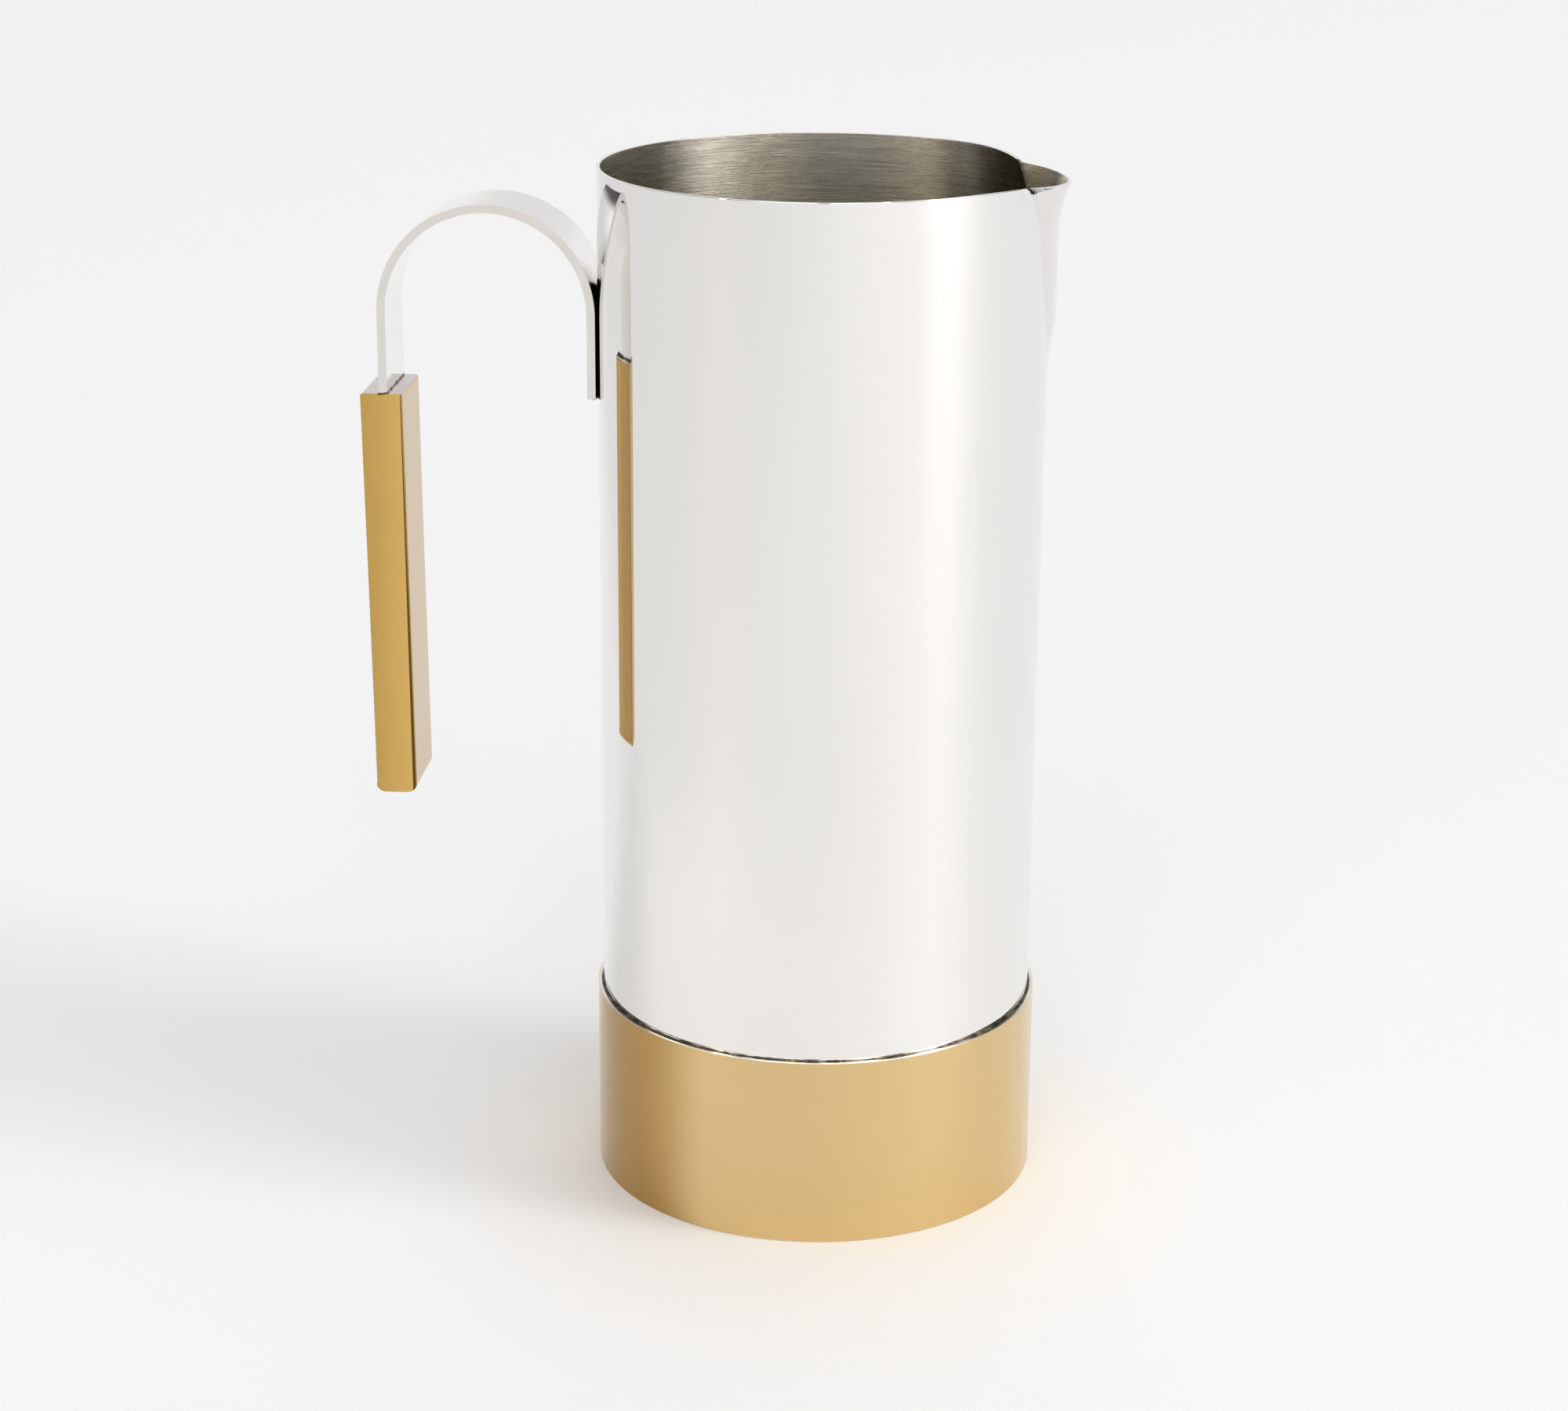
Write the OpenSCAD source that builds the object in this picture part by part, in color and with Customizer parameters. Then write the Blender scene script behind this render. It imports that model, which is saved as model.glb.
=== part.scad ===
// Straight-sided steel cocktail pitcher with a pressed spout, a brass base sleeve
// and a brass grip hung on an arched steel strap.
// The origin is on the body's axis at table level. The handle lies on -X and the spout on +X.

/* [Body] */
// Height of the rim above the table
body_h = 240; // [200:1:280]
// Outside diameter of the body tube
body_d = 102; // [92:1:112]
// Thickness of the body sheet
wall_t = 0.9; // [0.7:0.05:1.4]
// Clearance of the tube's lower edge above the table, so that the pitcher stands on its sleeve
body_lift = 0.5; // [0.3:0.1:1.5]
// Height of the floor disc's underside above the table
floor_rise = 3.5; // [2.5:0.5:8]
// Thickness of the floor disc
floor_t = 1; // [0.8:0.1:2]
// Leg of the weld fillet that holds the floor disc from below
floor_bead = 1.2; // [0.8:0.1:1.8]

/* [Spout] */
// How far the spout's tip stands out past the body tube
spout_reach = 4.2; // [2.5:0.1:6]
// How far the pressed bulge below the flared lip stands out
spout_bulge = 1.65; // [0.8:0.05:2.4]
// Depth of the pressed spout below the rim
spout_h = 46; // [36:1:60]
// Height of the flared and pinched lip zone at the rim
lip_h = 12; // [8:1:18]
// Angle round the body from the spout's middle to each crease, at the rim
crease_angle = 23.5; // [16:0.5:30]
// Angle round the body over which the pinched wall runs out beyond each crease
pinch_angle = 28; // [20:1:40]
// How far each crease is pinched inwards at the rim
crease_pinch = 1.9; // [0.5:0.1:2.5]
// How far pressing pulls the rim down at a crease
crease_drop = 1.25; // [0.5:0.05:2]
// How far pressing pulls the rim down at the tip
tip_drop = 2.75; // [1:0.05:4]
// Turn of the spout away from the point opposite the handle
spout_skew = 3; // [-6:0.5:6]

/* [Base sleeve] */
// Height of the brass sleeve
sleeve_h = 45; // [30:1:60]
// Wall of the brass sleeve
sleeve_t = 0.9; // [0.7:0.05:1.5]
// Clearance between the body tube and the sleeve, filled by the bond
sleeve_gap = 0.4; // [0.2:0.05:0.8]
// How far the bond stays below the sleeve's upper edge, and above its lower one
bond_inset = 1.5; // [0.8:0.1:3]
// Clearance between the body tube and the bond, which keeps their round faces apart
bond_clear = 0.1; // [0.05:0.05:0.15]

/* [Handle strap] */
// Width of the flat strap, which is the grip's width too
strap_w = 21; // [16:0.5:26]
// Thickness of the strap
strap_t = 1.9; // [1.4:0.1:2.6]
// Radius of the arch, to the strap's outer face
arch_r = 24.8; // [20:0.1:30]
// Depth of the arch's crown below the rim
crown_drop = 8.6; // [4:0.2:14]
// Length of the strap's straight leg on the body
body_leg_l = 18.8; // [14:0.2:30]
// Length of the strap's straight leg down to the grip
grip_leg_l = 18.5; // [14:0.5:30]
// Depth to which the strap's leg is saddled to the round of the body
saddle_depth = 0.4; // [0.2:0.05:0.8]
// Leg of the weld fillet under the strap's end
strap_bead = 1.3; // [0.8:0.1:2]

/* [Grip] */
// Length of the brass grip
grip_l = 96; // [80:1:110]
// Thickness of the grip, outwards from the body
grip_t = 9.6; // [8:0.1:13]
// Lean of the grip on the strap's foot, its lower end towards the body
grip_lean = 0.55; // [0:0.05:1.5]
// How far the grip's middle stands outside the strap's middle
grip_offset = 0.55; // [0:0.05:0.8]
// Radius of the grip's long edges
grip_edge_r = 1; // [0.5:0.1:1.5]
// Radius of the grip's corners at its lower end
grip_end_r = 2.2; // [1.2:0.1:3]
// Radius of the grip's corners at its upper end
grip_top_r = 0.7; // [0.4:0.1:1.2]
// Width of the tang that the strap ends in, inside the grip
tang_w = 13; // [9:0.5:14]
// Length of the tang
tang_l = 8; // [5:0.5:12]
// Clearance round the tang and under the strap's foot, filled by braze
braze_gap = 0.15; // [0.1:0.05:0.3]
// Leg of the braze fillets at the foot of the strap
braze_bead = 0.6; // [0.3:0.1:1]

/* [Hidden] */
$fn = 128;
// Overrun of every cut past the face that it opens
cut_over = 1;

body_r = body_d / 2;
bore_r = body_r - wall_t;
sleeve_bore_r = body_r + sleeve_gap;
sleeve_r = sleeve_bore_r + sleeve_t;

// The pressed spout is a patch of this height and half-angle, let into a window in the tube
window_h = spout_h + lip_h / 3;
window_angle = crease_angle + pinch_angle;
// The patch runs past the window's edges by this much, and is proud of the sheet by this much
seam_over = 0.5;
seam_proud = 0.08;
// The creases fade away above the spout's lowest point, as the bulge runs out over this height
bulge_run = spout_h / 3;
// Roundness of the spout's section from crease to nose, and of its outline down the wall
nose_power = 1.8;
outline_power = 0.5;
// Least share of the spout's depth that counts in its outline, which keeps the creases apart
outline_least = 0.04;
// Shares of the patch's half width that lie inside a crease, and its rows and columns
crease_share = 0.5;
patch_rows = 14;
patch_half_cols = 20;
// Rows crowd towards the rim by this power
row_power = 1.6;

// The strap's centre of arch, measured out from the body's axis and up from the table
arch_out = body_r - saddle_depth + arch_r;
arch_up = body_h - crown_drop - arch_r;
strap_foot = arch_up - body_leg_l;

steel = "#c9c7c2";
steel_weld = "#8d8b88";
brass = "#c8a257";
brass_weld = "#8c6a34";
bond_grey = "#5a544b";

// Ease from 0 to 1 without a kink at either end
function ease(x) = let (c = min(1, max(0, x))) c * c * (3 - 2 * c);
// Share of a local pressing that is left at depth h below the rim
function lip_left(h) = pow(max(0, 1 - h / lip_h), 2);
// Angle from the spout's middle to a crease at depth h
function crease_at(h) =
    crease_angle * pow(max(outline_least, 1 - h / spout_h), outline_power);
// Share of the pinch that is left at an angle beyond the crease
function pinch_left(beyond) = pow(max(0, 1 - beyond / pinch_angle), 2);

// Radius of the outer surface inside the creases, u being 0 at the nose and 1 at a crease
function nose_r(u, h) = let (
    pinch = crease_pinch * lip_left(h),
    bulge = spout_bulge * ease((spout_h - h) / bulge_run),
    flare = (spout_reach - spout_bulge) * lip_left(h)
) body_r - pinch + (pinch + bulge + flare) * (1 - pow(u, nose_power));

// Radius of the outer surface beyond a crease
function flank_r(beyond, h) =
    body_r - crease_pinch * lip_left(h) * pinch_left(beyond);

// Point of the patch at row share s, from the rim down, and column share t, from side to side
function patch_point(s, t, inset) = let (
    h = s * window_h,
    a = abs(t),
    c = crease_at(h),
    inside = a <= crease_share,
    u = a / crease_share,
    v = (a - crease_share) / (1 - crease_share),
    angle = inside ? u * c : c + v * (window_angle - c),
    beyond = max(0, angle - c) * pinch_angle / (window_angle - c),
    r = inside ? nose_r(u, h) : flank_r(beyond, h),
    drop = inside
        ? crease_drop + (tip_drop - crease_drop) * (1 - pow(u, nose_power))
        : crease_drop * pinch_left(beyond),
    turn = sign(t) * angle
) [
    (r - inset) * cos(turn),
    (r - inset) * sin(turn),
    body_h - h - (drop + seam_proud) * pow(1 - s, 2)
];

// Closed skin over two grids of points, the outer one first, each of rows by columns
module shell_patch(outer, inner) {
    rows = len(outer);
    cols = len(outer[0]);
    function at(side, row, col) = (side * rows + row) * cols + col;
    function quad(a, b, c, d) = [[a, b, c], [a, c, d]];
    points = concat([for (row = outer) each row], [for (row = inner) each row]);
    faces = concat(
        [for (i = [0:rows - 2], j = [0:cols - 2])
            each quad(at(0, i, j), at(0, i, j + 1), at(0, i + 1, j + 1), at(0, i + 1, j))],
        [for (i = [0:rows - 2], j = [0:cols - 2])
            each quad(at(1, i, j), at(1, i + 1, j), at(1, i + 1, j + 1), at(1, i, j + 1))],
        [for (j = [0:cols - 2])
            each quad(at(0, 0, j), at(1, 0, j), at(1, 0, j + 1), at(0, 0, j + 1))],
        [for (j = [0:cols - 2])
            each quad(at(0, rows - 1, j), at(0, rows - 1, j + 1),
                at(1, rows - 1, j + 1), at(1, rows - 1, j))],
        [for (i = [0:rows - 2])
            each quad(at(0, i, 0), at(0, i + 1, 0), at(1, i + 1, 0), at(1, i, 0))],
        [for (i = [0:rows - 2])
            each quad(at(0, i, cols - 1), at(1, i, cols - 1),
                at(1, i + 1, cols - 1), at(0, i + 1, cols - 1))]
    );
    polyhedron(points = points, faces = faces, convexity = 6);
}

// Pressed spout, which fills the window in the tube
module spout_patch() {
    rows = [for (i = [0:patch_rows]) pow(i / patch_rows, row_power)];
    cols = [for (j = [-patch_half_cols:patch_half_cols]) j / patch_half_cols];
    shell_patch(
        [for (s = rows) [for (t = cols) patch_point(s, t, -seam_proud)]],
        [for (s = rows) [for (t = cols) patch_point(s, t, wall_t + seam_proud)]]
    );
}

// Wedge of the tube that the pressed spout replaces
module spout_window() {
    reach = body_d;
    half = window_angle - asin(seam_over / body_r);
    translate([0, 0, body_h - window_h + seam_over])
        linear_extrude(window_h + cut_over)
            polygon([
                [0, 0],
                [reach * cos(half), -reach * sin(half)],
                [reach, 0],
                [reach * cos(half), reach * sin(half)]
            ]);
}

// Ring between two radii
module ring(outer_r, inner_r, h) {
    difference() {
        cylinder(r = outer_r, h = h);
        translate([0, 0, -cut_over])
            cylinder(r = inner_r, h = h + 2 * cut_over);
    }
}

// Rolled and welded sheet tube with the spout pressed into its rim
module body_shell() {
    color(steel)
        rotate([0, 0, spout_skew]) {
            difference() {
                translate([0, 0, body_lift])
                    ring(body_r, bore_r, body_h - body_lift);
                spout_window();
            }
            spout_patch();
        }
}

// Flat disc let into the tube
module body_floor() {
    color(steel)
        translate([0, 0, floor_rise])
            cylinder(r = bore_r, h = floor_t);
}

// Fillet weld right round the underside of the floor disc
module floor_weld() {
    color(steel_weld)
        rotate_extrude()
            polygon([
                [bore_r, floor_rise],
                [bore_r - floor_bead, floor_rise],
                [bore_r, floor_rise - floor_bead]
            ]);
}

// Length of brass tube slid over the foot of the body
module base_sleeve() {
    color(brass)
        ring(sleeve_r, sleeve_bore_r, sleeve_h);
}

// Bond in the clearance between body and sleeve
module sleeve_bond() {
    color(bond_grey)
        translate([0, 0, bond_inset])
            ring(sleeve_bore_r, body_r + bond_clear, sleeve_h - 2 * bond_inset);
}

// The handle is drawn on +X and turned to its place on -X
module on_handle_side() {
    rotate([0, 0, 180])
        children();
}

// Frame of the strap's outer foot, whose zero is in the middle of its thickness
module on_strap_foot() {
    translate([arch_out + arch_r - strap_t / 2, 0, arch_up - grip_leg_l])
        children();
}

// Frame of the leaning grip, whose zero is on its top face under the strap's foot
module on_grip() {
    on_strap_foot()
        translate([0, 0, -braze_gap])
            rotate([0, grip_lean, 0])
                children();
}

// Bar across the handle's width with its lower outer corner at [x, z]
module cross_bar(x, z, thick, wide, tall) {
    translate([x, -wide / 2, z])
        cube([thick, wide, tall]);
}

// Half-round arch of the strap
module strap_arch() {
    translate([arch_out, 0, arch_up])
        rotate([90, 0, 0])
            rotate_extrude(angle = 180)
                translate([arch_r - strap_t, -strap_w / 2])
                    square([strap_t, strap_w]);
}

// Outer leg of the strap with the tang that it ends in
module strap_end() {
    cross_bar(-strap_t / 2, 0, strap_t, strap_w, grip_leg_l);
    cross_bar(-strap_t / 2, -tang_l, strap_t, tang_w, tang_l);
}

// Pocket for the tang, open at the grip's top and run on upwards by an overrun
module tang_pocket(over) {
    cross_bar(-strap_t / 2 - braze_gap, -tang_l,
        strap_t + 2 * braze_gap, tang_w + 2 * braze_gap, tang_l + over);
}

// Flat strap bent to an arch, saddled to the body at one end and narrowed to a tang at the other
module handle_strap() {
    color(steel)
        on_handle_side()
            difference() {
                union() {
                    strap_arch();
                    cross_bar(arch_out - arch_r, strap_foot, strap_t, strap_w, body_leg_l);
                    on_strap_foot()
                        strap_end();
                }
                translate([0, 0, strap_foot - cut_over])
                    cylinder(r = body_r, h = body_leg_l + arch_r);
            }
}

// Fillet weld across the lower end of the strap
module strap_weld() {
    back = arch_out - arch_r;
    color(steel_weld)
        on_handle_side()
            difference() {
                translate([0, strap_w / 2, 0])
                    rotate([90, 0, 0])
                        linear_extrude(strap_w)
                            polygon([
                                [back, strap_foot],
                                [back + strap_bead, strap_foot],
                                [back, strap_foot - strap_bead]
                            ]);
                translate([0, 0, strap_foot - 2 * strap_bead])
                    cylinder(r = body_r, h = 3 * strap_bead);
            }
}

// Rectangle from z = -h to 0 with round corners, larger at one end than at the other
module bar_outline(w, h, top_r, end_r) {
    translate([-w / 2, -h + end_r])
        square([w, h - end_r - top_r]);
    translate([-w / 2 + top_r, -top_r])
        square([w - 2 * top_r, top_r]);
    translate([-w / 2 + end_r, -h])
        square([w - 2 * end_r, end_r]);
    for (side = [-1, 1]) {
        translate([side * (w / 2 - top_r), -top_r])
            circle(r = top_r);
        translate([side * (w / 2 - end_r), -h + end_r])
            circle(r = end_r);
    }
}

// Rectangle about the origin with round corners
module round_rect(w, h, r) {
    square([w - 2 * r, h], center = true);
    square([w, h - 2 * r], center = true);
    for (x = [-1, 1], y = [-1, 1])
        translate([x * (w / 2 - r), y * (h / 2 - r)])
            circle(r = r);
}

// Solid brass bar with eased edges, hung from z = 0
module grip_bar() {
    intersection() {
        translate([0, 0, -grip_l])
            linear_extrude(grip_l)
                round_rect(grip_t, strap_w, grip_edge_r);
        translate([0, strap_w / 2, 0])
            rotate([90, 0, 0])
                linear_extrude(strap_w)
                    bar_outline(grip_t, grip_l, grip_top_r, grip_end_r);
    }
}

// Brass grip with the blind pocket for the strap's tang
module handle_grip() {
    color(brass)
        on_handle_side()
            on_grip()
                difference() {
                    translate([grip_offset, 0, 0])
                        grip_bar();
                    tang_pocket(cut_over);
                }
}

// Braze round the tang, with a fillet along each face of the strap on top of the grip
module grip_braze() {
    fillet_w = strap_w - 2 * grip_edge_r;
    half = strap_t / 2 + braze_bead;
    color(brass_weld)
        on_handle_side()
            difference() {
                on_grip() {
                    tang_pocket(0);
                    translate([0, fillet_w / 2, 0])
                        rotate([90, 0, 0])
                            linear_extrude(fillet_w)
                                polygon([[-half, 0], [half, 0], [0, half]]);
                }
                on_strap_foot()
                    strap_end();
            }
}

body_shell();
body_floor();
floor_weld();
base_sleeve();
sleeve_bond();
handle_strap();
strap_weld();
handle_grip();
grip_braze();
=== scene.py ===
import math
import bmesh
import bpy
from mathutils import Matrix, Vector, noise


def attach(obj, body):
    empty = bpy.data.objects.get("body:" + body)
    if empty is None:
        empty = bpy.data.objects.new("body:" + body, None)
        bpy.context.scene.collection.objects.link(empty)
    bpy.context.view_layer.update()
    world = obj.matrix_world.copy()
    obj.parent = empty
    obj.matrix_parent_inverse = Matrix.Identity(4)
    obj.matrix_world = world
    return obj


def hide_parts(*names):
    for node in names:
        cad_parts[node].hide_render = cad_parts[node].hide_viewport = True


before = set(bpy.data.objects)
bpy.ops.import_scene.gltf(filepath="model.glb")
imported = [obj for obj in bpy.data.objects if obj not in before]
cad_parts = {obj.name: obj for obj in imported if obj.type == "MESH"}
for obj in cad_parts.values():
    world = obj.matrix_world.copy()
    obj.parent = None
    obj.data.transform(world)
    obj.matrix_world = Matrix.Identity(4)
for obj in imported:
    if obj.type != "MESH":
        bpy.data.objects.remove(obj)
bpy.ops.object.select_all(action="DESELECT")
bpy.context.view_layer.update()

# Camera
# Stands a little over three body heights off, on the spout's side of the front, and looks
# down at the rim so that the inside shows.
STANDPOINT = (0.04785, -0.73423, 0.35358)
right = Vector((0.99689, 0.07842, 0.00723))
up = Vector((-0.03121, 0.30910, 0.95052))
ahead = Vector((-0.07230, 0.94779, -0.31059))
camera_data = bpy.data.cameras.new("camera")
camera_data.sensor_fit = "HORIZONTAL"
camera_data.sensor_width = 36.0
camera_data.lens = 75.615
camera_data.clip_start = 0.01
camera_data.clip_end = 50.0
camera = bpy.data.objects.new("camera", camera_data)
bpy.context.scene.collection.objects.link(camera)
aimed = Matrix((right, up, -ahead)).transposed().to_4x4()
camera.matrix_world = Matrix.Translation(STANDPOINT) @ aimed
bpy.context.scene.camera = camera

# Studio
# A pale paper floor under one large soft light on the right, which throws the shadow to the
# left. What the metal mirrors is set apart from it: walls that are bright in some directions,
# and four lights that show only in metal, two of them narrow for the inside's bright bands.
AIR_STRENGTH, CEILING, WALL_FOOT = 6.3, (0.232, 0.232, 0.232), (0.142, 0.142, 0.142)
PAPER, BLACK = (0.87, 0.87, 0.87), (0, 0, 0)
LAMP_AIM = Vector((0, 0, 0.12))
# Degrees round the table, where 0 is the spout's side, -90 the front and 180 the handle's
# side, and the brightness of the wall there
ROUND_THE_TABLE = (
    (-180, 0.0), (-172, 0.06), (-164, 0.14), (-154, 0.05), (-140, 0.05), (-127, 0.05), (-121, 1.0),
    (-114, 1.45), (-94, 1.35), (-90.5, 1.2), (-89, 0.0), (-84, 0.0), (-82, 1.6), (-74, 1.65),
    (-64, 1.15), (-56, 1.3), (-46, 0.1), (-36, 0.5), (-29, 1.3), (-15, 1.3), (-3, 0.8),
    (12, 0.0), (25, 0.0), (45, 0.05), (70, 0.74), (115, 0.74), (131, 0.14), (158, 0.03),
    (172, 0.0))
RAMP_TOP = 6

bpy.context.scene.view_settings.view_transform = "Standard"
world = bpy.data.worlds.new("studio_air")
bpy.context.scene.world = world
world.use_nodes = True


def node(tree, kind, values=None, **settings):
    """A shader node with its settings, its values and what is plugged into it."""
    made = tree.nodes.new("ShaderNode" + kind)
    for name, value in settings.items():
        setattr(made, name, value)
    for name, value in (values or {}).items():
        if isinstance(value, bpy.types.NodeSocket):
            tree.links.new(value, made.inputs[name])
        else:
            made.inputs[name].default_value = value
    return made


def parts_of(tree, kind):
    """The X, Y and Z of the texture coordinates of that kind."""
    place = node(tree, "TexCoord")
    return node(tree, "SeparateXYZ", {"Vector": place.outputs[kind]}).outputs


def mapped(tree, value, low, high, first=0.0, second=1.0, **settings):
    """The value from low to high, turned to run from the first to the second."""
    made = node(tree, "MapRange", {
        "Value": value, "From Min": low, "From Max": high, "To Min": first, "To Max": second,
    }, **settings)
    return made.outputs["Result"]


def mixed(tree, factor, first, second, **settings):
    """The first colour turned to the second as far as the factor says, or blended with it."""
    made = node(tree, "Mix", {"Factor": factor}, data_type="RGBA", **settings)
    for socket, colour in zip(made.inputs[6:8], (first, second)):
        if isinstance(colour, bpy.types.NodeSocket):
            tree.links.new(colour, socket)
        else:
            socket.default_value = (*colour, 1)
    return made.outputs[2]


def ramp(tree, value, steps):
    """The colour that the steps give the value, each step a place from 0 to 1 and its colour."""
    made = node(tree, "ValToRGB", {"Fac": value})
    stops = made.color_ramp.elements
    while len(stops) < len(steps):
        stops.new(0.5)
    for stop, (place, colour) in zip(stops, steps):
        stop.position = place
        stop.color = (*colour, 1)
    return made.outputs["Color"]


def finish_of(name, **values):
    """A new material with those values on its shader."""
    material = bpy.data.materials.new(name)
    material.use_nodes = True
    tree = material.node_tree
    shader = tree.nodes["Principled BSDF"]
    for socket, value in values.items():
        shader.inputs[socket.replace("_", " ")].default_value = value
    return material, tree, shader


air = world.node_tree
way = parts_of(air, "Generated")
azimuth = node(air, "Math", {0: way["Y"], 1: way["X"]}, operation="ARCTAN2")
walls = ramp(air, mapped(air, azimuth.outputs["Value"], -math.pi, math.pi), [
    ((degrees + 180) / 360, [light / RAMP_TOP] * 3) for degrees, light in ROUND_THE_TABLE])
high = mapped(air, way["Z"], 0.55, 0.98, interpolation_type="SMOOTHSTEP")
above_foot = mapped(air, way["Z"], 0.06, 0.22, interpolation_type="SMOOTHSTEP")
sky = air.nodes["Background"]
air.links.new(mixed(air, above_foot, WALL_FOOT, mixed(air, high, walls, CEILING)),
              sky.inputs["Color"])
sky.inputs["Strength"].default_value = AIR_STRENGTH

bpy.ops.mesh.primitive_plane_add(size=16.0, location=(0, 0, 0))
floor = bpy.context.object
floor.name = "paper_floor"
paper, tree, shader = finish_of("paper", Roughness=0.7)
# Painted shade: the paper is up to 8% darker on the left and in front, where the metal mirrors it
place = parts_of(tree, "Object")
slant = node(tree, "Math", {0: place["Y"], 1: 0.333, 2: place["X"]}, operation="MULTIPLY_ADD")
left = mapped(tree, slant.outputs["Value"], -0.20, -0.42, interpolation_type="SMOOTHSTEP")
front = mapped(tree, place["Y"], -0.13, -0.36, interpolation_type="SMOOTHSTEP")
away = node(tree, "Math", {0: left, 1: front}, operation="MAXIMUM")
most = mapped(tree, place["X"], -0.5, 0.35, 0.08, 0.0)
painted_floor_shade = node(tree, "Math", {0: away.outputs["Value"], 1: most}, operation="MULTIPLY")
tree.links.new(mixed(tree, painted_floor_shade.outputs["Value"], PAPER, BLACK), shader.inputs["Base Color"])
floor.data.materials.append(paper)


def soft_light(name, azimuth, elevation, away, wide, tall, watts, tint, on_paper):
    """A rectangular light that faces the pitcher's middle, for the paper or else for the metal."""
    data = bpy.data.lights.new(name, "AREA")
    data.shape = "RECTANGLE"
    data.size, data.size_y = wide, tall
    data.energy = watts
    data.color = tint
    lamp = bpy.data.objects.new(name, data)
    bpy.context.scene.collection.objects.link(lamp)
    a, e = math.radians(azimuth), math.radians(elevation)
    way = Vector((math.cos(a) * math.cos(e), math.sin(a) * math.cos(e), math.sin(e)))
    lamp.location = way * away + LAMP_AIM
    lamp.rotation_euler = way.to_track_quat("Z", "Y").to_euler()
    lamp.visible_diffuse = on_paper
    lamp.visible_glossy = not on_paper


# Each with its direction and height in degrees, how far off, wide and tall it is, and its watts
soft_light("key", -12.6, 37.8, 12.0, 3.07, 2.29, 272, (1.0, 1.0, 1.0), on_paper=True)
soft_light("strip_front", -54, 28, 2.5, 0.06, 0.7, 8, (1.0, 0.88, 0.66), on_paper=False)
soft_light("strip_left", -139, 28, 2.5, 0.06, 0.7, 12, (1.0, 0.92, 0.74), on_paper=False)
soft_light("broad_right", -22, 27, 3.0, 0.80, 1.5, 46, (1.0, 0.99, 0.975), on_paper=False)
soft_light("high_left", 180, 38, 3.0, 1.0, 0.9, 9, (1.0, 0.97, 0.92), on_paper=False)

# Body
# One sheet of stainless steel, rolled to a tube, welded and polished outside. The spout is
# pressed into its rim: two creases, a bulge between them and a flared lip. Inside it is brushed.
BODY_R, WALL, BODY_H, LIFT, EDGE_EASE = 0.051, 0.0009, 0.240, 0.0005, 0.00013
# Angles of the spout in degrees. The columns of faces up to WINDOW either side of its middle
# are drawn together, so that the crease runs down the column half way
SPOUT_TURN, CREASE, PINCH_RUN, WINDOW = 3, 23.5, 28, 52
SPOUT_H, LIP_H, PRESSED_H = 0.046, 0.012, 0.050
PINCH, BULGE, FLARE = 0.0019, 0.00165, 0.00255
CREASE_DROP, TIP_DROP = 0.00125, 0.0015
NOSE_POWER, LEAST_SPOUT_SHARE = 1.8, 0.04
SPREAD_FROM, SPREAD_TO = 0.041, 0.095
PRESSED_ROWS, ROW_POWER, PLAIN_ROWS, PLAIN_ROW_H = 34, 1.6, 18, 0.0025
LOW_ROWS = [0.12, 0.16, 0.20]
# How far the cut edge turns out at the creases, how deep that reaches, and how far it runs in
# degrees on the spout's side and on the other
EDGE_DIP, DIP_H, DIP_IN, DIP_OUT = 0.0017, 0.005, 11.0, 4.5
# Painted shade of the notch at the crease's foot: where it is on the rim, past the crease, and its
# fade
NOTCH_AT, NOTCH_RUN = 0.9, 2.6
# How far painted shade darkens the outside in the spout and on a crease, and how wide that runs along
# a crease
SPOUT_SHADE, CREASE_SHADE, CREASE_SHARE = 0.45, 0.55, 0.045
# Painted shade darkens the inside beside a crease up to SHADE_END degrees past it, and painted
# highlights brighten it in the spout
HALF_RIDGE, RIDGE_TONE, SHADE_END, SHADE_FADE = 0.5, 1.8, 24, 13
SPOUT_TONE, SPOUT_FADE, TIP_TONE, TIP_FADE = 1.1, 16, 2.0, 10
OUTSIDE, INSIDE, CUT_EDGE = range(3)


def smooth(share):
    """A share from 0 to 1, eased in and out."""
    return share * share * (3 - 2 * share)


def lip_left(depth):
    """Share of the lip's pinch and flare that is left at that depth below the rim."""
    return max(0.0, 1 - depth / LIP_H) ** 2


def crease_at(depth):
    """Angle from the spout's middle to the crease. Below the spout the columns spread evenly again."""
    narrow = CREASE * max(LEAST_SPOUT_SHARE, 1 - min(depth, SPREAD_FROM) / SPOUT_H) ** 0.5
    spread = min(1.0, max(0.0, (depth - SPREAD_FROM) / (SPREAD_TO - SPREAD_FROM)))
    return narrow + (WINDOW / 2 - narrow) * smooth(spread)


def pressed(angle, depth):
    """Place on the body's outside: the column's own angle from the spout, and the depth."""
    crease = crease_at(depth)
    side = math.copysign(1.0, angle)
    share = abs(angle) / WINDOW
    pinch = PINCH * lip_left(depth)
    if share <= 0.5:
        at = share / 0.5
        turn = at * crease
        bulge = BULGE * smooth(min(1.0, max(0.0, (SPOUT_H - depth) / (SPOUT_H / 3))))
        flare = FLARE * lip_left(depth)
        nose = 1 - at**NOSE_POWER
        radius = BODY_R - pinch + (pinch + bulge + flare) * nose
        drop = CREASE_DROP + TIP_DROP * nose
    else:
        turn = crease + (share - 0.5) / 0.5 * (WINDOW - crease)
        beyond = (turn - crease) * PINCH_RUN / (WINDOW - crease)
        left = max(0.0, 1 - beyond / PINCH_RUN) ** 2
        radius = BODY_R - pinch * left
        drop = CREASE_DROP * left
    out = math.radians(SPOUT_TURN + side * turn)
    height = BODY_H - depth - drop * max(0.0, 1 - depth / PRESSED_H) ** 2
    return Vector((radius * math.cos(out), radius * math.sin(out), height))


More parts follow.
